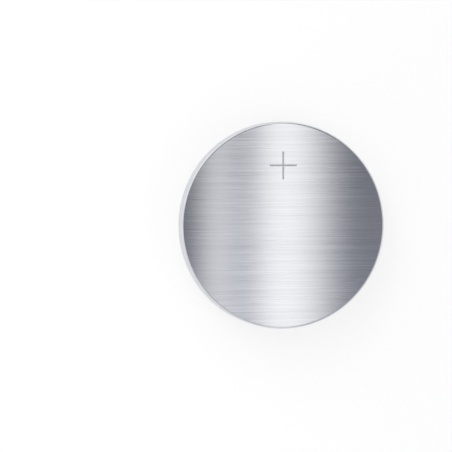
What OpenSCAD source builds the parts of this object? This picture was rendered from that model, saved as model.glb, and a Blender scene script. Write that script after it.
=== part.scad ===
// Lithium coin cell, lying on its negative cap with the positive face up.
// The origin is the centre of the negative contact face, and +Z points to the positive face.
// Each piece is a section turned about the Z axis: X in a section is the radius, Y is the height.

/* [Cell] */
// Outer diameter of the cell
cell_d = 20; // [16:0.1:24.5]
// Height from the negative face to the positive face
cell_h = 2.5; // [2:0.05:3.6]

/* [Positive can] */
// Sheet thickness of the can
can_wall = 0.25; // [0.2:0.01:0.3]
// Outer corner radius round the positive face
can_edge_r = 0.2; // [0.1:0.01:0.24]

/* [Crimp] */
// How far the negative face stands out past the rolled rim
crimp_below = 0.15; // [0.1:0.01:0.2]
// Angle that the rim is rolled past square, so that its edge bites into the gasket
crimp_bite = 10; // [0:1:15]
// Straight length of the rim past its bend
crimp_flat = 0.03; // [0.01:0.01:0.1]

/* [Negative cap] */
// Sheet thickness of the cap
cap_wall = 0.2; // [0.16:0.01:0.25]
// Inner radius of each bend in the cap
cap_bend_r = 0.05; // [0.04:0.01:0.1]

/* [Gasket] */
// Thickness of the gasket where the crimp presses it
gasket_wall = 0.3; // [0.22:0.01:0.4]
// Thickness of the gasket's foot, between the cap's skirt and the can
gasket_foot = 0.3; // [0.2:0.01:0.4]
// Thickness of the gasket's inner lip, inside the cap's skirt
gasket_lip_t = 0.25; // [0.15:0.01:0.3]
// Height of the gasket's inner lip above its foot
gasket_lip_h = 0.45; // [0.3:0.01:0.5]
// How far the gasket swells up past the edge of the rim
gasket_swell = 0.1; // [0.05:0.01:0.2]
// Clearance between the swollen edge of the gasket and the cap's side
gasket_gap = 0.03; // [0.01:0.01:0.15]

/* [Lithium and separator] */
// Thickness of the lithium disc
lithium_t = 0.45; // [0.3:0.01:0.6]
// Clearance between the lithium disc and the cap's side
lithium_gap = 0.3; // [0.1:0.01:1]
// Thickness of the separator
separator_t = 0.2; // [0.1:0.01:0.3]
// Height of the separator's rim, from its underside
separator_h = 0.7; // [0.4:0.01:0.9]
// Clearance between the separator and the cap's side
separator_gap = 0.08; // [0.02:0.01:0.2]

/* [Cathode] */
// Sheet thickness of the steel ring that holds the cathode pellet
ring_t = 0.1; // [0.06:0.01:0.15]
// Height of the ring's wall
ring_h = 0.6; // [0.3:0.01:0.9]
// Width of the ring's flange, under the positive face
ring_flange = 1.2; // [0.6:0.1:3]
// Clearance between the ring and the separator
ring_gap = 0.02; // [0.01:0.01:0.1]

/* [Polarity mark] */
// Length of each bar of the plus mark
mark_l = 2.7; // [1:0.1:4]
// Width of the bars
mark_w = 0.18; // [0.1:0.01:0.4]
// Depth of the bars in the positive face
mark_depth = 0.05; // [0.02:0.01:0.1]
// Distance from the middle of the face to the middle of the mark
mark_y = 5.8; // [0:0.1:7]

/* [Hidden] */
$fn = 96;

cell_r = cell_d / 2;
can_bore_r = cell_r - can_wall;
can_floor_z = cell_h - can_wall;

// The crimp's bend is wrapped round the gasket and the edge of the cap,
// so its layers share one centre and their thicknesses add up.
cap_outer_bend_r = cap_bend_r + cap_wall;
gasket_bend_r = cap_outer_bend_r + gasket_wall;
crimp_r = gasket_bend_r + can_wall;
crimp_x = cell_r - crimp_r;
crimp_z = crimp_below + crimp_r;
rim_mid_r = (crimp_r + gasket_bend_r) / 2;
rim_reach = rim_mid_r * sin(crimp_bite) + crimp_flat * cos(crimp_bite) + can_wall / 2;
// Finest step of a size on the drawing, so that sections meet at the same numbers
drawing_step = 0.001;
rim_end_r = crimp_x - round(rim_reach / drawing_step) * drawing_step;

// The gasket's free edge lies between the end of the rim and the side of the cap.
bead_r = (gasket_wall + gasket_swell) / 2;
bead_x = rim_end_r - bead_r;

// The cap steps down from its shoulder, under the rim, to its face.
shoulder_z = crimp_z - cap_outer_bend_r;
cap_face_r = bead_x - bead_r - gasket_gap;
cap_pocket_r = cap_face_r - cap_wall;
face_flat_r = cap_face_r - cap_outer_bend_r;
step_x = cap_face_r + cap_bend_r;
step_z = shoulder_z - cap_bend_r;
skirt_r = crimp_x + cap_outer_bend_r;
skirt_bore_r = skirt_r - cap_wall;
skirt_end_z = can_floor_z - gasket_foot;

// The gasket's inner lip ends in a full round.
lip_x = skirt_bore_r - gasket_lip_t / 2;
lip_z = skirt_end_z - gasket_lip_h + gasket_lip_t / 2;

// The stack in the middle fills the height between the cap and the can.
lithium_r = cap_pocket_r - lithium_gap;
separator_z = cap_wall + lithium_t;
separator_r = cap_pocket_r - separator_gap;
pellet_z = separator_z + separator_t;
ring_r = separator_r - separator_t - ring_gap;
pellet_r = ring_r - ring_t;

// Reach of the wedge that cuts a sector out of a ring, in ring radii
wedge_reach = 2;
// How far the bars of the mark stand out of the face they are cut into
cut_over = 0.5;

// Section of an upright wall or a flat plate, between two radii and two heights
module block(inner_r, outer_r, low, high) {
    polygon([
        [inner_r, low],
        [outer_r, low],
        [outer_r, high],
        [inner_r, high],
    ]);
}

// Section of a sheet bent round the origin, from one angle to another
module bend(outer_r, inner_r, from, to) {
    reach = outer_r * wedge_reach;
    intersection() {
        difference() {
            circle(outer_r);
            circle(inner_r);
        }
        polygon([
            [0, 0],
            for (a = [from, (from + to) / 2, to]) reach * [cos(a), sin(a)],
        ]);
    }
}

// Places what follows past the crimp's bend, with X along the rim and the bend's centre at the origin
module past_crimp() {
    translate([crimp_x, crimp_z])
        rotate(-crimp_bite)
            children();
}

// Section of one layer that follows the rim: its bend, and a straight run towards the cap
module rim_layer(outer_r, inner_r, run) {
    translate([crimp_x, crimp_z])
        bend(outer_r, inner_r, 0, -90 - crimp_bite);
    past_crimp()
        translate([-run, -outer_r])
            square([run, outer_r - inner_r]);
}

// Section of the can: flat base, wall and rolled rim with a round edge
module can_section() {
    difference() {
        block(0, cell_r, crimp_z, cell_h);
        block(0, can_bore_r, 0, can_floor_z);
        translate([cell_r - can_edge_r, cell_h - can_edge_r])
            difference() {
                square(can_edge_r + cut_over);
                circle(can_edge_r);
            }
    }
    rim_layer(crimp_r, gasket_bend_r, crimp_flat);
    past_crimp()
        translate([-crimp_flat, -rim_mid_r])
            circle(d = can_wall);
}

module positive_can() {
    color("lightsteelblue")
        difference() {
            rotate_extrude() can_section();
            translate([0, mark_y, cell_h - mark_depth])
                for (turn = [0, 90])
                    rotate(turn)
                        translate([-mark_l / 2, -mark_w / 2])
                            cube([mark_l, mark_w, mark_depth + cut_over]);
        }
}

// Section of the gasket: foot, outer wall and inner lip round the cap's skirt,
// and the fold that the rim presses onto the shoulder, with its swollen free edge
module gasket_section() {
    block(skirt_bore_r - gasket_lip_t, can_bore_r, skirt_end_z, can_floor_z);
    block(skirt_r, can_bore_r, crimp_z, skirt_end_z);
    block(skirt_bore_r - gasket_lip_t, skirt_bore_r, lip_z, skirt_end_z);
    translate([lip_x, lip_z])
        circle(d = gasket_lip_t);
    difference() {
        rim_layer(gasket_bend_r, cap_outer_bend_r, crimp_x - bead_x);
        block(0, bead_x, 0, cell_h);
        block(0, crimp_x, shoulder_z, cell_h);
    }
    translate([bead_x, shoulder_z - bead_r])
        circle(bead_r);
}

module gasket() {
    color("dimgray")
        rotate_extrude() gasket_section();
}

// Section of the cap: contact face, side, shoulder and skirt, all one sheet
module cap_section() {
    block(0, face_flat_r, 0, cap_wall);
    translate([face_flat_r, cap_outer_bend_r])
        bend(cap_outer_bend_r, cap_bend_r, -90, 0);
    block(cap_pocket_r, cap_face_r, cap_outer_bend_r, step_z);
    translate([step_x, step_z])
        bend(cap_outer_bend_r, cap_bend_r, 90, 180);
    block(step_x, crimp_x, shoulder_z, shoulder_z + cap_wall);
    translate([crimp_x, crimp_z])
        bend(cap_outer_bend_r, cap_bend_r, -90, 0);
    block(skirt_bore_r, skirt_r, crimp_z, skirt_end_z);
}

module negative_cap() {
    color("gainsboro")
        rotate_extrude() cap_section();
}

module lithium_disc() {
    color("silver")
        translate([0, 0, cap_wall])
            cylinder(h = lithium_t, r = lithium_r);
}

// A shallow cup, so that its rim parts the cathode from the side of the cap
module separator() {
    color("white")
        rotate_extrude() {
            block(0, separator_r, separator_z, pellet_z);
            block(separator_r - separator_t, separator_r, pellet_z, separator_z + separator_h);
        }
}

// The pellet is pressed into its ring, so its middle stands through the flange.
module cathode_pellet() {
    color("darkslategray") {
        translate([0, 0, pellet_z])
            cylinder(h = can_floor_z - ring_t - pellet_z, r = pellet_r);
        translate([0, 0, can_floor_z - ring_t])
            cylinder(h = ring_t, r = ring_r - ring_flange);
    }
}

// An L-shaped ring whose flange lies against the can
module cathode_ring() {
    color("lightgray")
        rotate_extrude() {
            block(ring_r - ring_flange, ring_r, can_floor_z - ring_t, can_floor_z);
            block(pellet_r, ring_r, can_floor_z - ring_h, can_floor_z - ring_t);
        }
}

positive_can();
gasket();
negative_cap();
lithium_disc();
separator();
cathode_pellet();
cathode_ring();
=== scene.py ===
import math

import bmesh
import bpy
from mathutils import Matrix, Vector


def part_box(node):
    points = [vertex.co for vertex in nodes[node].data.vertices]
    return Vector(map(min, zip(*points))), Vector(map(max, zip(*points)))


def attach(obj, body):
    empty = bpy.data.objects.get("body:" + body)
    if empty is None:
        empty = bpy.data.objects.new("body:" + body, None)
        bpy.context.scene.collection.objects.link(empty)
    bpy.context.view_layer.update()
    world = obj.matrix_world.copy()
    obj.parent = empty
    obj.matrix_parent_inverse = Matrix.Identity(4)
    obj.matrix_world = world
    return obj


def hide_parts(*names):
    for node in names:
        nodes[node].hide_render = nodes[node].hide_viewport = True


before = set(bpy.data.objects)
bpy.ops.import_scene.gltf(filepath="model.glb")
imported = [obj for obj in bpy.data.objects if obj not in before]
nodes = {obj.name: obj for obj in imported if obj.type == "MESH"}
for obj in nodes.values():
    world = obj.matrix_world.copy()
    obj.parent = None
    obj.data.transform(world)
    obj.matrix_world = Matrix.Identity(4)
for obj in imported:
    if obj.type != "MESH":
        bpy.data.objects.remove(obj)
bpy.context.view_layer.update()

mm = 0.001  # pieces are drawn in millimetres, and scaled to metres when they are finished
print("frame loaded:", ", ".join(sorted(nodes)))


# sizes in mm that the pieces share, from the frame where it gives them

def nodeSize(name):
    # outer radius and top of a round node
    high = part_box(name)[1] / mm
    return round(high.x, 3), round(high.z, 3)


canR, faceZ = nodeSize("positive_can")
boreR, floorZ = nodeSize("gasket")      # the gasket fills the can out to its bore and up to its floor
skirtR, skirtEnd = nodeSize("negative_cap")
canWall = canR - boreR
capWall = round(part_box("lithium_disc")[0].z / mm, 3)   # the lithium lies on the cap's inside

crimp = {
    "below": 0.15,         # the contact face stands out past the rim by this
    "bite": 10,            # degrees that the rim is rolled past square
    "flat": 0.03,          # straight run of the rim past its bend
    "gasketWall": 0.3,     # thickness of the gasket in the bend
    "bendR": 0.05,         # inner radius of the cap's bends
}
# the layers of the crimp's bend share one centre, so their thicknesses add up
capBend = crimp["bendR"] + capWall
gasketBend = capBend + crimp["gasketWall"]
canBend = gasketBend + canWall
centre = (canR - canBend, crimp["below"] + canBend)
shoulder = centre[1] - capBend
bite = math.radians(crimp["bite"])
rimMid = (canBend + gasketBend) / 2
rimReach = rimMid * math.sin(bite) + crimp["flat"] * math.cos(bite) + canWall / 2
rimEnd = centre[0] - round(rimReach, 3)


def pastCrimp(x, z):
    # a point in the section, given along and across the rim from the centre of its bend
    return (centre[0] + x * math.cos(bite) + z * math.sin(bite),
            centre[1] - x * math.sin(bite) + z * math.cos(bite))


# drawing a section, and turning it about the cell's axis

turning = {
    "steps": 288,          # of a full turn
    "bendStep": 7.5,       # degrees between the points of a bend
    "hold": 0.02,          # mm from the end of a straight run to the loop that keeps it straight
    "holdFrom": 0.1,       # mm, a shorter run needs no such loops
    "weld": 0.00001,       # mm
    "level": 0.001,        # mm within which a point counts as level with a face
    "sharp": 32,           # degrees between faces from which an edge is shaded sharp
}


def startSection(r, z):
    bm = bmesh.new()
    return bm, bm.verts.new((r, 0, z))


def lineTo(bm, vert, r, z):
    start, end = vert.co.copy(), Vector((r, 0, z))
    run = end - start
    stops = [end]
    if run.length > turning["holdFrom"]:
        hold = run.normalized() * turning["hold"]
        stops = [start + hold, end - hold, end]
    for stop in stops:
        new = bm.verts.new(stop)
        bm.edges.new((vert, new))
        vert = new
    return vert


def arcTo(bm, vert, middle, turn):
    # turn is in degrees, anticlockwise as the section is seen with the axis on the left
    made = bmesh.ops.spin(
        bm, geom=[vert], cent=(middle[0], 0, middle[1]), axis=(0, -1, 0),
        angle=math.radians(turn), steps=round(abs(turn) / turning["bendStep"]))
    return next(g for g in made["geom_last"] if isinstance(g, bmesh.types.BMVert))


def turnSection(bm):
    bmesh.ops.spin(
        bm, geom=bm.verts[:] + bm.edges[:], cent=(0, 0, 0), axis=(0, 0, 1),
        angle=2 * math.pi, steps=turning["steps"], use_merge=True)
    bmesh.ops.remove_doubles(bm, verts=bm.verts, dist=turning["weld"])


def openEdges(bm, z):
    return [e for e in bm.edges
            if e.is_boundary and all(abs(v.co.z - z) < turning["level"] for v in e.verts)]


def finishPiece(bm, name, materials, node):
    bmesh.ops.recalc_face_normals(bm, faces=bm.faces)
    loose = [e for e in bm.edges if len(e.link_faces) != 2]
    print(name, "faces", len(bm.faces), "open edges", len(loose))
    for face in bm.faces:
        face.smooth = True
    for edge in bm.edges:
        edge.smooth = edge.calc_face_angle(0) < math.radians(turning["sharp"])
    bmesh.ops.scale(bm, vec=(mm, mm, mm), verts=bm.verts)
    piece = newObject(bm, name, materials)
    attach(piece, "root")
    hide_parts(node)


def newObject(bm, name, materials):
    mesh = bpy.data.meshes.new(name)
    bm.to_mesh(mesh)
    bm.free()
    for material in materials:
        mesh.materials.append(material)
    made = bpy.data.objects.new(name, mesh)
    bpy.context.scene.collection.objects.link(made)
    return made


# materials

def linearColour(hexCode):
    # an sRGB hex value as the linear colour that a socket takes
    parts = [int(hexCode[i:i + 2], 16) / 255 for i in (1, 3, 5)]
    return [p / 12.92 if p <= 0.04045 else ((p + 0.055) / 1.055) ** 2.4 for p in parts] + [1]


def addNode(tree, kind, sockets=None, **settings):
    # adds a node, sets its properties, and sets or links its sockets.
    # Sockets that share a name are given by number.
    node = tree.nodes.new(kind)
    for name, value in settings.items():
        setattr(node, name, value)
    for name, value in (sockets or {}).items():
        if isinstance(value, bpy.types.NodeSocket):
            tree.links.new(value, node.inputs[name])
        else:
            node.inputs[name].default_value = value
    return node


def emptyTree(owner):
    owner.use_nodes = True
    owner.node_tree.nodes.clear()
    return owner.node_tree


def newMaterial(name, **sockets):
    material = bpy.data.materials.new(name)
    tree = emptyTree(material)
    shader = addNode(tree, "ShaderNodeBsdfPrincipled", sockets)
    addNode(tree, "ShaderNodeOutputMaterial", {"Surface": shader.outputs["BSDF"]})
    return material, tree, shader


noiseSpan = (0.3, 0.7)     # noise keeps mostly between these


def grain(tree, perMm, detail=3, seed=0, place=None):
    # an uneven pattern from 0 to 1, with this many grains to a millimetre along X, Y and Z
    if place is None:
        place = addNode(tree, "ShaderNodeTexCoord").outputs["Object"]
    scaled = addNode(tree, "ShaderNodeMapping", {
        "Vector": place, "Location": (seed, seed, seed), "Scale": [n / mm for n in perMm]})
    noise = addNode(tree, "ShaderNodeTexNoise", {
        "Vector": scaled.outputs["Vector"], "Scale": 1, "Detail": detail})
    return addNode(tree, "ShaderNodeMapRange", {
        "Value": noise.outputs["Fac"], "From Min": noiseSpan[0],
        "From Max": noiseSpan[1]}).outputs["Result"]


def giveLook(tree, shader, look, tone, polish, relief):
    # spreads the look's colours, roughness and depth in mm over patterns that go from 0 to 1
    colour = addNode(tree, "ShaderNodeMix", {
        "Factor": tone, 6: linearColour(look["dark"]), 7: linearColour(look["light"])}, data_type="RGBA")
    rough = addNode(tree, "ShaderNodeMapRange", {
        "Value": polish, "To Min": look["roughness"][0], "To Max": look["roughness"][1]})
    bump = addNode(tree, "ShaderNodeBump", {"Height": relief, "Distance": look["depth"] * mm})
    tree.links.new(colour.outputs[2], shader.inputs["Base Color"])
    tree.links.new(rough.outputs["Result"], shader.inputs["Roughness"])
    tree.links.new(bump.outputs["Normal"], shader.inputs["Normal"])


brushed = {
    "light": "#DEDFE2", "dark": "#C2C3C6",
    "roughness": (0.17, 0.22),
    "anisotropic": 0.95,
    "streaks": (0.06, 5, 5),         # to a mm: 0.2 mm wide, right across the face
    "hairs": (0.1, 10, 10),          # to a mm: 0.1 mm wide
    "breaks": (0.8, 5, 5),           # to a mm: a hair line fades out after 1 to 3 mm
    "hairShare": 0.7,
    "depth": 0.00025,
}


def brushedStainless():
    # Stainless steel sheet, dry brushed one way with a fine belt: hair lines along X, which hold the
    # reflection sharp across them and smear it along Y, into upright bands of light.
    # Real hair lines are 0.02 mm wide. They are drawn 0.1 mm and wider, so that they show.
    material, tree, shader = newMaterial("brushedStainless", Metallic=1, Anisotropic=brushed["anisotropic"])
    streaks = grain(tree, brushed["streaks"], detail=2)
    hairs = addNode(tree, "ShaderNodeMix", {
        "Factor": grain(tree, brushed["breaks"], detail=1, seed=11),
        "A": grain(tree, brushed["hairs"], detail=2, seed=7),
        "B": grain(tree, brushed["hairs"], detail=2, seed=23)}).outputs["Result"]
    lines = addNode(tree, "ShaderNodeMix", {
        "Factor": brushed["hairShare"], "A": streaks, "B": hairs}).outputs["Result"]
    giveLook(tree, shader, brushed, lines, hairs, lines)
    along = addNode(tree, "ShaderNodeCombineXYZ", {"Y": 1})
    tree.links.new(along.outputs["Vector"], shader.inputs["Tangent"])
    return material


struck = {
    "light": "#DFE0E3", "dark": "#C9CACE",
    "roughness": (0.45, 0.6),
    "skin": (10, 10, 10),
    "depth": 0.0004,
}


def struckStainless():
    # The same sheet where a blunt die has struck it: the hair lines are pressed flat and the ground is dull
    material, tree, shader = newMaterial("struckStainless", Metallic=1)
    skin = grain(tree, struck["skin"], seed=9)
    giveLook(tree, shader, struck, skin, skin, skin)
    return material


drawn = {
    "light": "#DDDEE2", "dark": "#CFD0D4",
    "roughness": (0.15, 0.27),
    "lines": (9, 9, 0.4),            # to a mm: die lines 0.1 mm wide, up the wall
    "mottle": (0.9, 0.9, 0.9),
    "lineShare": 0.5,                # of the tone
    "depth": 0.0005,
}


def drawnStainless():
    # Stainless steel drawn through a die and rolled over: satin, with faint lines up the wall
    # and a slight unevenness where the sheet was stretched.
    material, tree, shader = newMaterial("drawnStainless", Metallic=1)
    # the lines are read on the can's circle, so they run up the wall and turn in with the rim
    place = addNode(tree, "ShaderNodeTexCoord").outputs["Object"]
    flat = addNode(tree, "ShaderNodeVectorMath", {0: place, 1: (1, 1, 0)}, operation="MULTIPLY")
    circle = addNode(tree, "ShaderNodeVectorMath", {0: flat.outputs["Vector"]}, operation="NORMALIZE")
    height = addNode(tree, "ShaderNodeVectorMath", {0: place, 1: (0, 0, 1)}, operation="MULTIPLY")
    wrapped = addNode(tree, "ShaderNodeVectorMath", {
        0: circle.outputs["Vector"], 1: [canR * mm] * 3, 2: height.outputs["Vector"]},
        operation="MULTIPLY_ADD")
    lines = grain(tree, drawn["lines"], place=wrapped.outputs["Vector"])
    tone = addNode(tree, "ShaderNodeMix", {
        "Factor": drawn["lineShare"], "A": grain(tree, drawn["mottle"], detail=2, seed=3),
        "B": lines}).outputs["Result"]
    giveLook(tree, shader, drawn, tone, lines, lines)
    return material


pressed = {
    "light": "#D8D9DC", "dark": "#C8C9CE",
    "roughness": (0.28, 0.4),
    "mottle": (1.2, 1.2, 1.2),
    "skin": (9, 9, 9),
    "depth": 0.0006,
}


def pressedStainless():
    # Stainless steel strip with a dull rolled skin, pressed in a die: even and satin, no lines
    material, tree, shader = newMaterial("pressedStainless", Metallic=1)
    skin = grain(tree, pressed["skin"], seed=5)
    giveLook(tree, shader, pressed, grain(tree, pressed["mottle"]), skin, skin)
    return material


moulded = {
    "light": "#2B2B2E", "dark": "#1D1D20",
    "roughness": (0.38, 0.55),
    "grain": (8, 8, 8),
    "depth": 0.0016,
}


def mouldedPolypropylene():
    # Polypropylene filled with carbon black, injection moulded and squeezed flat: near black,
    # half dull, with a faint grain from the mould
    material, tree, shader = newMaterial("mouldedPolypropylene", IOR=1.49)
    skin = grain(tree, moulded["grain"])
    giveLook(tree, shader, moulded, skin, skin, skin)
    return material


rolled = {
    "light": "#C4C3C0", "dark": "#A9A8A7",
    "roughness": (0.4, 0.6),
    "film": (0.5, 0.5, 0.5),
    "lines": (0.3, 7, 7),
    "depth": 0.0008,
}


def rolledLithium():
    # Lithium foil, rolled and punched: soft silver with the first grey film of air on it
    material, tree, shader = newMaterial("rolledLithium", Metallic=1)
    film = grain(tree, rolled["film"], detail=4)
    giveLook(tree, shader, rolled, film, film, grain(tree, rolled["lines"], detail=2, seed=4))
    return material


felt = {
    "light": "#F2F1EC", "dark": "#DAD9D3",
    "roughness": (0.85, 0.95),
    "fibres": (1, 9, 3),             # to a mm, along each of the turned directions
    "turns": (0.2, 1.3, 2.4),        # radians about Z
    "depth": 0.004,
}


def meltblownFelt():
    # Polypropylene fibres blown into a thin felt: white, quite dull, with a tangle of fine threads.
    # The fibres are 0.01 mm thick. They are drawn 0.1 mm, so that they show.
    material, tree, shader = newMaterial("meltblownFelt", IOR=1.49)
    flat = addNode(tree, "ShaderNodeTexCoord").outputs["Object"]
    tangle = 0
    for count, turn in enumerate(felt["turns"], 1):
        turned = addNode(tree, "ShaderNodeVectorRotate", {
            "Vector": flat, "Angle": turn}, rotation_type="Z_AXIS")
        layer = grain(tree, felt["fibres"], seed=turn, place=turned.outputs["Vector"])
        tangle = addNode(tree, "ShaderNodeMix", {
            "Factor": 1 / count, "A": tangle, "B": layer}).outputs["Result"]
    giveLook(tree, shader, felt, tangle, tangle, tangle)
    return material


powder = {
    "light": "#3C3B3C", "dark": "#232223",
    "roughness": (0.6, 0.85),
    "grain": (7, 7, 7),              # to a mm: grains of 0.14 mm
    "depth": 0.004,
}


def pressedPowder():
    # Manganese dioxide and graphite pressed to a pellet: charcoal, dull, with a fine grain
    material, tree, shader = newMaterial("pressedPowder")
    grains = grain(tree, powder["grain"], detail=4)
    giveLook(tree, shader, powder, grains, grains, grains)
    return material


faceSteel = brushedStainless()
markSteel = struckStainless()
wallSteel = drawnStainless()
capSteel = pressedStainless()
print("materials made")


# positive can: brushed face with the plus mark, wall and rolled rim

can = {
    "edge": 0.2,           # radius round the face
    "materials": [faceSteel, wallSteel, markSteel],
}
mark = {"y": 5.8, "length": 2.7, "width": 0.18, "depth": 0.05, "slope": 0.05}


def canSection():
    edge, hold = can["edge"], turning["hold"]
    flatR = canR - edge
    bend = 90 + crimp["bite"]
    bm, pen = startSection(flatR - hold, faceZ)
    pen = lineTo(bm, pen, flatR, faceZ)
    pen = arcTo(bm, pen, (flatR, faceZ - edge), -90)
    pen = lineTo(bm, pen, canR, centre[1])
    pen = arcTo(bm, pen, centre, -bend)
    pen = lineTo(bm, pen, *pastCrimp(-crimp["flat"], -canBend))
    pen = arcTo(bm, pen, pastCrimp(-crimp["flat"], -rimMid), -180)
    pen = lineTo(bm, pen, *pastCrimp(0, -gasketBend))
    pen = arcTo(bm, pen, centre, bend)
    pen = lineTo(bm, pen, boreR, floorZ)
    lineTo(bm, pen, boreR - hold, floorZ)
    return bm


def strikeMark(bm):
    # cuts the face along the sides of both bars, then sinks what lies in them
    innerR = canR - can["edge"] - turning["hold"]
    reach, half = mark["length"] / 2, mark["width"] / 2

    def onFace(face):
        place = face.calc_center_median()
        return place.z > faceZ - turning["level"] and place.xy.length < innerR

    def inBars(face):
        x, y, z = face.calc_center_median()
        x, y = abs(x), abs(y - mark["y"])
        return onFace(face) and (x < half and y < reach or y < half and x < reach)

    for side in (-reach, -half, half, reach):
        for place, across in (((side, 0, 0), (1, 0, 0)), ((0, mark["y"] + side, 0), (0, 1, 0))):
            faces = [f for f in bm.faces if onFace(f)]
            edges = {e for f in faces for e in f.edges}
            verts = {v for f in faces for v in f.verts}
            bmesh.ops.bisect_plane(bm, geom=[*faces, *edges, *verts], plane_co=place, plane_no=across,
                                   dist=turning["weld"])
    bars = [f for f in bm.faces if inBars(f)]
    slopes = bmesh.ops.inset_region(bm, faces=bars, thickness=mark["slope"], use_boundary=True,
                                    use_even_offset=True)["faces"]
    bmesh.ops.translate(bm, vec=(0, 0, -mark["depth"]), verts=list({v for f in bars for v in f.verts}))
    return bars + slopes


def makeCan():
    bm = canSection()
    turnSection(bm)
    bmesh.ops.edgeloop_fill(bm, edges=openEdges(bm, faceZ))
    bmesh.ops.edgeloop_fill(bm, edges=openEdges(bm, floorZ))
    struckFaces = strikeMark(bm)
    brushedFrom = faceZ - turning["level"]
    for face in bm.faces:
        steel = faceSteel if face.calc_center_median().z > brushedFrom else wallSteel
        face.material_index = can["materials"].index(steel)
    for face in struckFaces:
        face.material_index = can["materials"].index(markSteel)
    finishPiece(bm, "positiveCan", can["materials"], "positive_can")


makeCan()
print("can turned")


# gasket: foot, outer wall and inner lip round the cap's skirt, and the fold under the rim

seal = {
    "lip": 0.25,           # thickness of the inner lip
    "lipHeight": 0.45,     # of the lip above the foot
    "swell": 0.1,          # the fold's free edge swells past the rim by this
}
beadR = (crimp["gasketWall"] + seal["swell"]) / 2
bead = (rimEnd - beadR, shoulder - beadR)


def foldEnd():
    # where the underside of the fold runs into its swollen edge, and how far that goes round to its top
    x, z = bead[0] - centre[0], bead[1] - centre[1]
    along = x * math.cos(bite) - z * math.sin(bite)
    across = x * math.sin(bite) + z * math.cos(bite)
    end = pastCrimp(along + math.sqrt(beadR ** 2 - (gasketBend + across) ** 2), -gasketBend)
    start = math.degrees(math.atan2(end[1] - bead[1], end[0] - bead[0]))
    return end, -(270 + start)


def makeGasket():
    skirtIn = skirtR - capWall
    lipIn = skirtIn - seal["lip"]
    lipEnd = skirtEnd - seal["lipHeight"] + seal["lip"] / 2
    end, turn = foldEnd()
    bm, first = startSection(lipIn, lipEnd)
    pen = lineTo(bm, first, lipIn, floorZ)
    pen = lineTo(bm, pen, boreR, floorZ)
    pen = lineTo(bm, pen, boreR, centre[1])
    pen = arcTo(bm, pen, centre, -(90 + crimp["bite"]))
    pen = lineTo(bm, pen, *end)
    pen = arcTo(bm, pen, bead, turn)
    pen = lineTo(bm, pen, centre[0], shoulder)
    pen = arcTo(bm, pen, centre, 90)
    pen = lineTo(bm, pen, skirtR, skirtEnd)
    pen = lineTo(bm, pen, skirtIn, skirtEnd)
    pen = lineTo(bm, pen, skirtIn, lipEnd)
    pen = arcTo(bm, pen, ((skirtIn + lipIn) / 2, lipEnd), -180)
    bm.edges.new((pen, first))
    turnSection(bm)
    finishPiece(bm, "gasketRing", [mouldedPolypropylene()], "gasket")


makeGasket()
print("gasket turned")


# negative cap: dotted contact face, side, shoulder and skirt

cap = {
    "gap": 0.03,           # between the gasket's swollen edge and the cap's side
    "borderR": 7.95,       # outside this the contact face is plain
    "borderSlope": 0.1,
}
dots = {
    "pitch": 0.72, "turn": 23,       # square rows, in degrees from X
    "radius": 0.21, "height": 0.06,
    "rings": ((0.12, 0.4), (0.3, 0.4), (0.35, 0.2)),   # shares of the radius and of the height, from the foot
    "reach": 7.45,                   # farthest centre from the axis
    "sides": 12,
}


def capSection():
    bendR, hold = crimp["bendR"], turning["hold"]
    sideR = bead[0] - beadR - cap["gap"]
    flatR, stepR = sideR - capBend, sideR + bendR
    stepZ = shoulder - bendR
    field = dots["height"]           # the dotted field lies deeper than the border by the height of the dots
    foot = cap["borderR"] - cap["borderSlope"]
    bm, pen = startSection(foot - hold, field)
    pen = lineTo(bm, pen, foot, field)
    pen = lineTo(bm, pen, cap["borderR"], 0)
    pen = lineTo(bm, pen, flatR, 0)
    pen = arcTo(bm, pen, (flatR, capBend), 90)
    pen = lineTo(bm, pen, sideR, stepZ)
    pen = arcTo(bm, pen, (stepR, stepZ), -90)
    pen = lineTo(bm, pen, centre[0], shoulder)
    pen = arcTo(bm, pen, centre, 90)
    pen = lineTo(bm, pen, skirtR, skirtEnd)
    pen = lineTo(bm, pen, skirtR - capWall, skirtEnd)
    pen = lineTo(bm, pen, skirtR - capWall, centre[1])
    pen = arcTo(bm, pen, centre, -90)
    pen = lineTo(bm, pen, stepR, shoulder + capWall)
    pen = arcTo(bm, pen, (stepR, stepZ), 90)
    pen = lineTo(bm, pen, sideR - capWall, capBend)
    pen = arcTo(bm, pen, (flatR, capBend), -90)
    lineTo(bm, pen, flatR - hold, capWall)
    return bm


def dotPlaces():
    turned = Matrix.Rotation(math.radians(dots["turn"]), 4, "Z")
    most = math.ceil(dots["reach"] / dots["pitch"])
    rows = range(-most, most + 1)
    places = [turned @ Vector((i * dots["pitch"], j * dots["pitch"], 0)) for i in rows for j in rows]
    return [p + Vector((0, 0, dots["height"])) for p in places if p.length <= dots["reach"]]


def makeCap():
    bm = capSection()
    turnSection(bm)
    bmesh.ops.edgeloop_fill(bm, edges=openEdges(bm, capWall))
    # the field is filled round the feet of the dots, and then the dots are raised
    outline = openEdges(bm, dots["height"])
    tops = []
    for place in dotPlaces():
        ring = bmesh.ops.create_circle(bm, cap_ends=True, segments=dots["sides"],
                                       radius=dots["radius"], matrix=Matrix.Translation(place))
        tops.append(ring["verts"][0].link_faces[0])
        outline += tops[-1].edges[:]
    bmesh.ops.triangle_fill(bm, edges=outline, use_beauty=True, normal=(0, 0, -1))
    for inwards, upwards in dots["rings"]:
        bmesh.ops.inset_individual(bm, faces=tops, thickness=dots["radius"] * inwards, use_even_offset=True)
        raised = {v for f in tops for v in f.verts}
        bmesh.ops.translate(bm, vec=(0, 0, -dots["height"] * upwards), verts=list(raised))
    print("dots on the cap:", len(tops))
    finishPiece(bm, "negativeCap", [capSteel], "negative_cap")


makeCap()
print("cap turned and dotted")


# the pieces held inside keep their shape and get their finish

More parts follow.
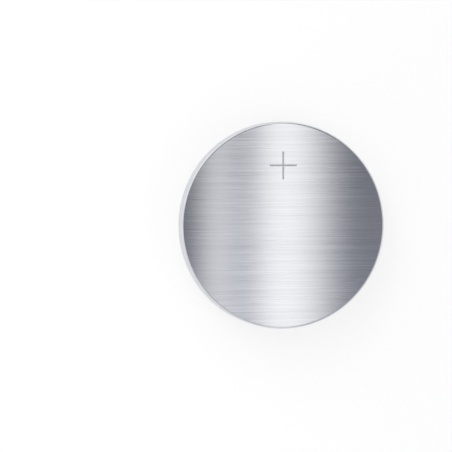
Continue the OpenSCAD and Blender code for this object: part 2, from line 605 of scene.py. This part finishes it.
inside = {
    "lithium_disc": rolledLithium(),
    "separator": meltblownFelt(),
    "cathode_pellet": pressedPowder(),
    "cathode_ring": capSteel,
}
for name, material in inside.items():
    slots = nodes[name].data.materials
    for index in range(len(slots)):
        slots[index] = material
print("inner pieces finished")


# floor

floor = {
    "size": 1.6,           # metres
    "colour": "#F9F9F9", "roughness": 0.85,
    "plainWhite": 0.7,     # share that the camera sees as plain white, which keeps the shadow pale
    "mirroredWhite": 0.1,  # share that metal and glass show so
}


def stagePlane(name, width, length, middle, material):
    bm = bmesh.new()
    bmesh.ops.create_grid(bm, x_segments=1, y_segments=1, size=0.5)   # a square with sides of 1
    bmesh.ops.scale(bm, vec=(width, length, 1), verts=bm.verts)
    bmesh.ops.translate(bm, vec=middle, verts=bm.verts)
    plane = newObject(bm, name, [material])
    return plane


def matteFloor():
    # Matt white card, which is partly plain white to what looks at it, and only card to what it lights
    material, tree, shader = newMaterial("matteFloor", Roughness=floor["roughness"])
    shader.inputs["Base Color"].default_value = linearColour(floor["colour"])
    rays = addNode(tree, "ShaderNodeLightPath")
    mirrored = addNode(tree, "ShaderNodeMath", {
        0: rays.outputs["Is Glossy Ray"], 1: rays.outputs["Is Transmission Ray"]}, operation="MAXIMUM")
    inMetal = addNode(tree, "ShaderNodeMath", {
        0: mirrored.outputs["Value"], 1: floor["mirroredWhite"]}, operation="MULTIPLY")
    share = addNode(tree, "ShaderNodeMath", {
        0: rays.outputs["Is Camera Ray"], 1: floor["plainWhite"], 2: inMetal.outputs["Value"]},
        operation="MULTIPLY_ADD")
    white = addNode(tree, "ShaderNodeEmission", {"Color": (1, 1, 1, 1), "Strength": 1})
    both = addNode(tree, "ShaderNodeMixShader", {
        0: share.outputs["Value"], 1: shader.outputs["BSDF"], 2: white.outputs["Emission"]})
    output = next(n for n in tree.nodes if n.type == "OUTPUT_MATERIAL")
    tree.links.new(both.outputs["Shader"], output.inputs["Surface"])
    return material


stagePlane("floor", floor["size"], floor["size"], (0, 0, 0), matteFloor())


# reflector card: a long diffuser above the cell, lit by a thin and a wide strip, seen only in metal.
# The face shows its strips and gaps as upright bands.

reflector = {
    "above": 60,           # mm above the face
    "x": (-30, 50), "length": 200,
    # each lit or dark part by its first and last X in mm and its brightness, with a soft edge between two
    "leftFill": (-30, -8, 0.85),
    "darkGap": (-1, 1.6, 0.12),
    "thinStrip": (4.8, 5, 1.15),
    "paleGap": (7.6, 8.4, 0.68),
    "wideStrip": (11.5, 13.5, 1.5),
    "dimGap": (21.2, 23, 0.27),
    "rightFill": (34, 50, 0.55),
    "cooling": (1, 0.98, 0.88),      # powers of red, green and blue, so it is cooler where it is dim
    "fadeY": (-2, 18), "fade": 0.85,   # its dim parts fade by this share from one Y to the other
}


def makeReflector():
    material = bpy.data.materials.new("reflectorCard")
    tree = emptyTree(material)
    place = addNode(tree, "ShaderNodeTexCoord").outputs["Object"]
    along = addNode(tree, "ShaderNodeSeparateXYZ", {"Vector": place})
    low, high = reflector["x"]
    across = addNode(tree, "ShaderNodeMapRange", {
        "Value": along.outputs["X"], "From Min": low * mm, "From Max": high * mm})
    parts = [reflector[part] for part in (
        "leftFill", "darkGap", "thinStrip", "paleGap", "wideStrip", "dimGap", "rightFill")]
    stops = [(x, part[2]) for part in parts for x in part[:2]]
    ramp = addNode(tree, "ShaderNodeValToRGB", {"Fac": across.outputs["Result"]})
    ramp.color_ramp.interpolation = "EASE"
    elements = ramp.color_ramp.elements
    while len(elements) < len(stops):
        elements.new(0.5)            # all the stops get their places below
    peak = reflector["wideStrip"][2]
    for element, (x, level) in zip(elements, stops):
        element.position = (x - low) / (high - low)
        element.color = [(level / peak) ** power for power in reflector["cooling"]] + [1]
    fade = addNode(tree, "ShaderNodeMapRange", {
        "Value": along.outputs["Y"], "From Min": reflector["fadeY"][0] * mm,
        "From Max": reflector["fadeY"][1] * mm, "To Min": 0, "To Max": reflector["fade"] * peak},
        interpolation_type="SMOOTHSTEP")
    dimness = addNode(tree, "ShaderNodeMath", {0: ramp.outputs["Color"], 1: 1}, operation="SUBTRACT")
    strength = addNode(tree, "ShaderNodeMath", {
        0: fade.outputs["Result"], 1: dimness.outputs["Value"], 2: peak}, operation="MULTIPLY_ADD")
    glow = addNode(tree, "ShaderNodeEmission", {
        "Color": ramp.outputs["Color"], "Strength": strength.outputs["Value"]})
    addNode(tree, "ShaderNodeOutputMaterial", {"Surface": glow.outputs["Emission"]})
    middle = Vector(((low + high) / 2, 0, faceZ + reflector["above"])) * mm
    card = stagePlane("reflectorCard", (high - low) * mm, reflector["length"] * mm, middle, material)
    card.visible_camera = False


makeReflector()


# lamps, in metres and watts, aimed at the cell

lamps = {
    "leftSoftBox": {"place": (-0.25, 0.75, 0.6), "size": 0.9, "watts": 7.5},
    "rightSoftBox": {"place": (0.6, -0.5, 0.6), "size": 0.9, "watts": 2.8},
}
for name, lamp in lamps.items():
    light = bpy.data.lights.new(name, "AREA")
    light.size, light.energy = lamp["size"], lamp["watts"]
    softBox = bpy.data.objects.new(name, light)
    bpy.context.scene.collection.objects.link(softBox)
    softBox.location = lamp["place"]
    softBox.rotation_euler = (-Vector(lamp["place"])).to_track_quat("-Z", "Y").to_euler()
    softBox.visible_camera = softBox.visible_glossy = False   # metal mirrors the card and the room


# room: white low down, as the backdrop is, darker overhead, and brighter on one side

room = {
    "low": 1.0, "high": 0.7,         # strengths
    "rise": (0.25, 0.85),            # sines of the angles above the floor between which it darkens
    "glow": 0.3, "glowFrom": (-0.6, 0.6, 0.53),
    "glowSpread": (0.2, 1),          # cosines of the angles to glowFrom at which it starts and is full
}


def lightRoom():
    world = bpy.data.worlds.new("room")
    tree = emptyTree(world)
    place = addNode(tree, "ShaderNodeTexCoord").outputs["Generated"]
    up = addNode(tree, "ShaderNodeSeparateXYZ", {"Vector": place})
    level = addNode(tree, "ShaderNodeMapRange", {
        "Value": up.outputs["Z"], "From Min": room["rise"][0], "From Max": room["rise"][1],
        "To Min": room["low"], "To Max": room["high"]}, interpolation_type="SMOOTHSTEP")
    side = addNode(tree, "ShaderNodeVectorMath", {0: place, 1: room["glowFrom"]}, operation="DOT_PRODUCT")
    glow = addNode(tree, "ShaderNodeMapRange", {
        "Value": side.outputs["Value"], "From Min": room["glowSpread"][0], "From Max": room["glowSpread"][1],
        "To Min": 0, "To Max": room["glow"]}, interpolation_type="SMOOTHSTEP")
    total = addNode(tree, "ShaderNodeMath", {0: level.outputs["Result"], 1: glow.outputs["Result"]})
    sky = addNode(tree, "ShaderNodeBackground", {"Color": (1, 1, 1, 1), "Strength": total.outputs["Value"]})
    addNode(tree, "ShaderNodeOutputWorld", {"Surface": sky.outputs["Background"]})
    bpy.context.scene.world = world


lightRoom()


# camera

view = {
    "distance": 400,                 # mm
    "tilt": 11.2, "heading": 168,    # degrees off the face's normal, and round from X
    "pixelsPerMm": 10.35,
    "faceAt": (283.3, 225.4), "frame": 452,   # pixels: where the middle of the face is, and the frame
    "sensor": 36,                    # mm
    "clip": (0.01, 10),              # metres
}


def placeCamera():
    tilt, heading = math.radians(view["tilt"]), math.radians(view["heading"])
    back = Vector((math.sin(tilt) * math.cos(heading), math.sin(tilt) * math.sin(heading), math.cos(tilt)))
    right = Vector((0, 1, 0)).cross(back).normalized()
    up = back.cross(right)
    middle = view["frame"] / 2
    aside = (view["faceAt"][0] - middle) / view["pixelsPerMm"]
    above = (middle - view["faceAt"][1]) / view["pixelsPerMm"]
    aim = Vector((0, 0, faceZ)) - right * aside - up * above
    data = bpy.data.cameras.new("camera")
    data.sensor_width = view["sensor"]
    data.lens = view["pixelsPerMm"] * view["sensor"] * view["distance"] / view["frame"]
    data.clip_start, data.clip_end = view["clip"]
    camera = bpy.data.objects.new("camera", data)
    bpy.context.scene.collection.objects.link(camera)
    turned = Matrix((right, up, back)).transposed().to_4x4()
    camera.matrix_world = Matrix.Translation((aim + back * view["distance"]) * mm) @ turned
    bpy.context.scene.camera = camera


placeCamera()
bpy.context.scene.view_settings.view_transform = "Standard"
bpy.context.view_layer.update()
print("floor, card, light and camera placed")
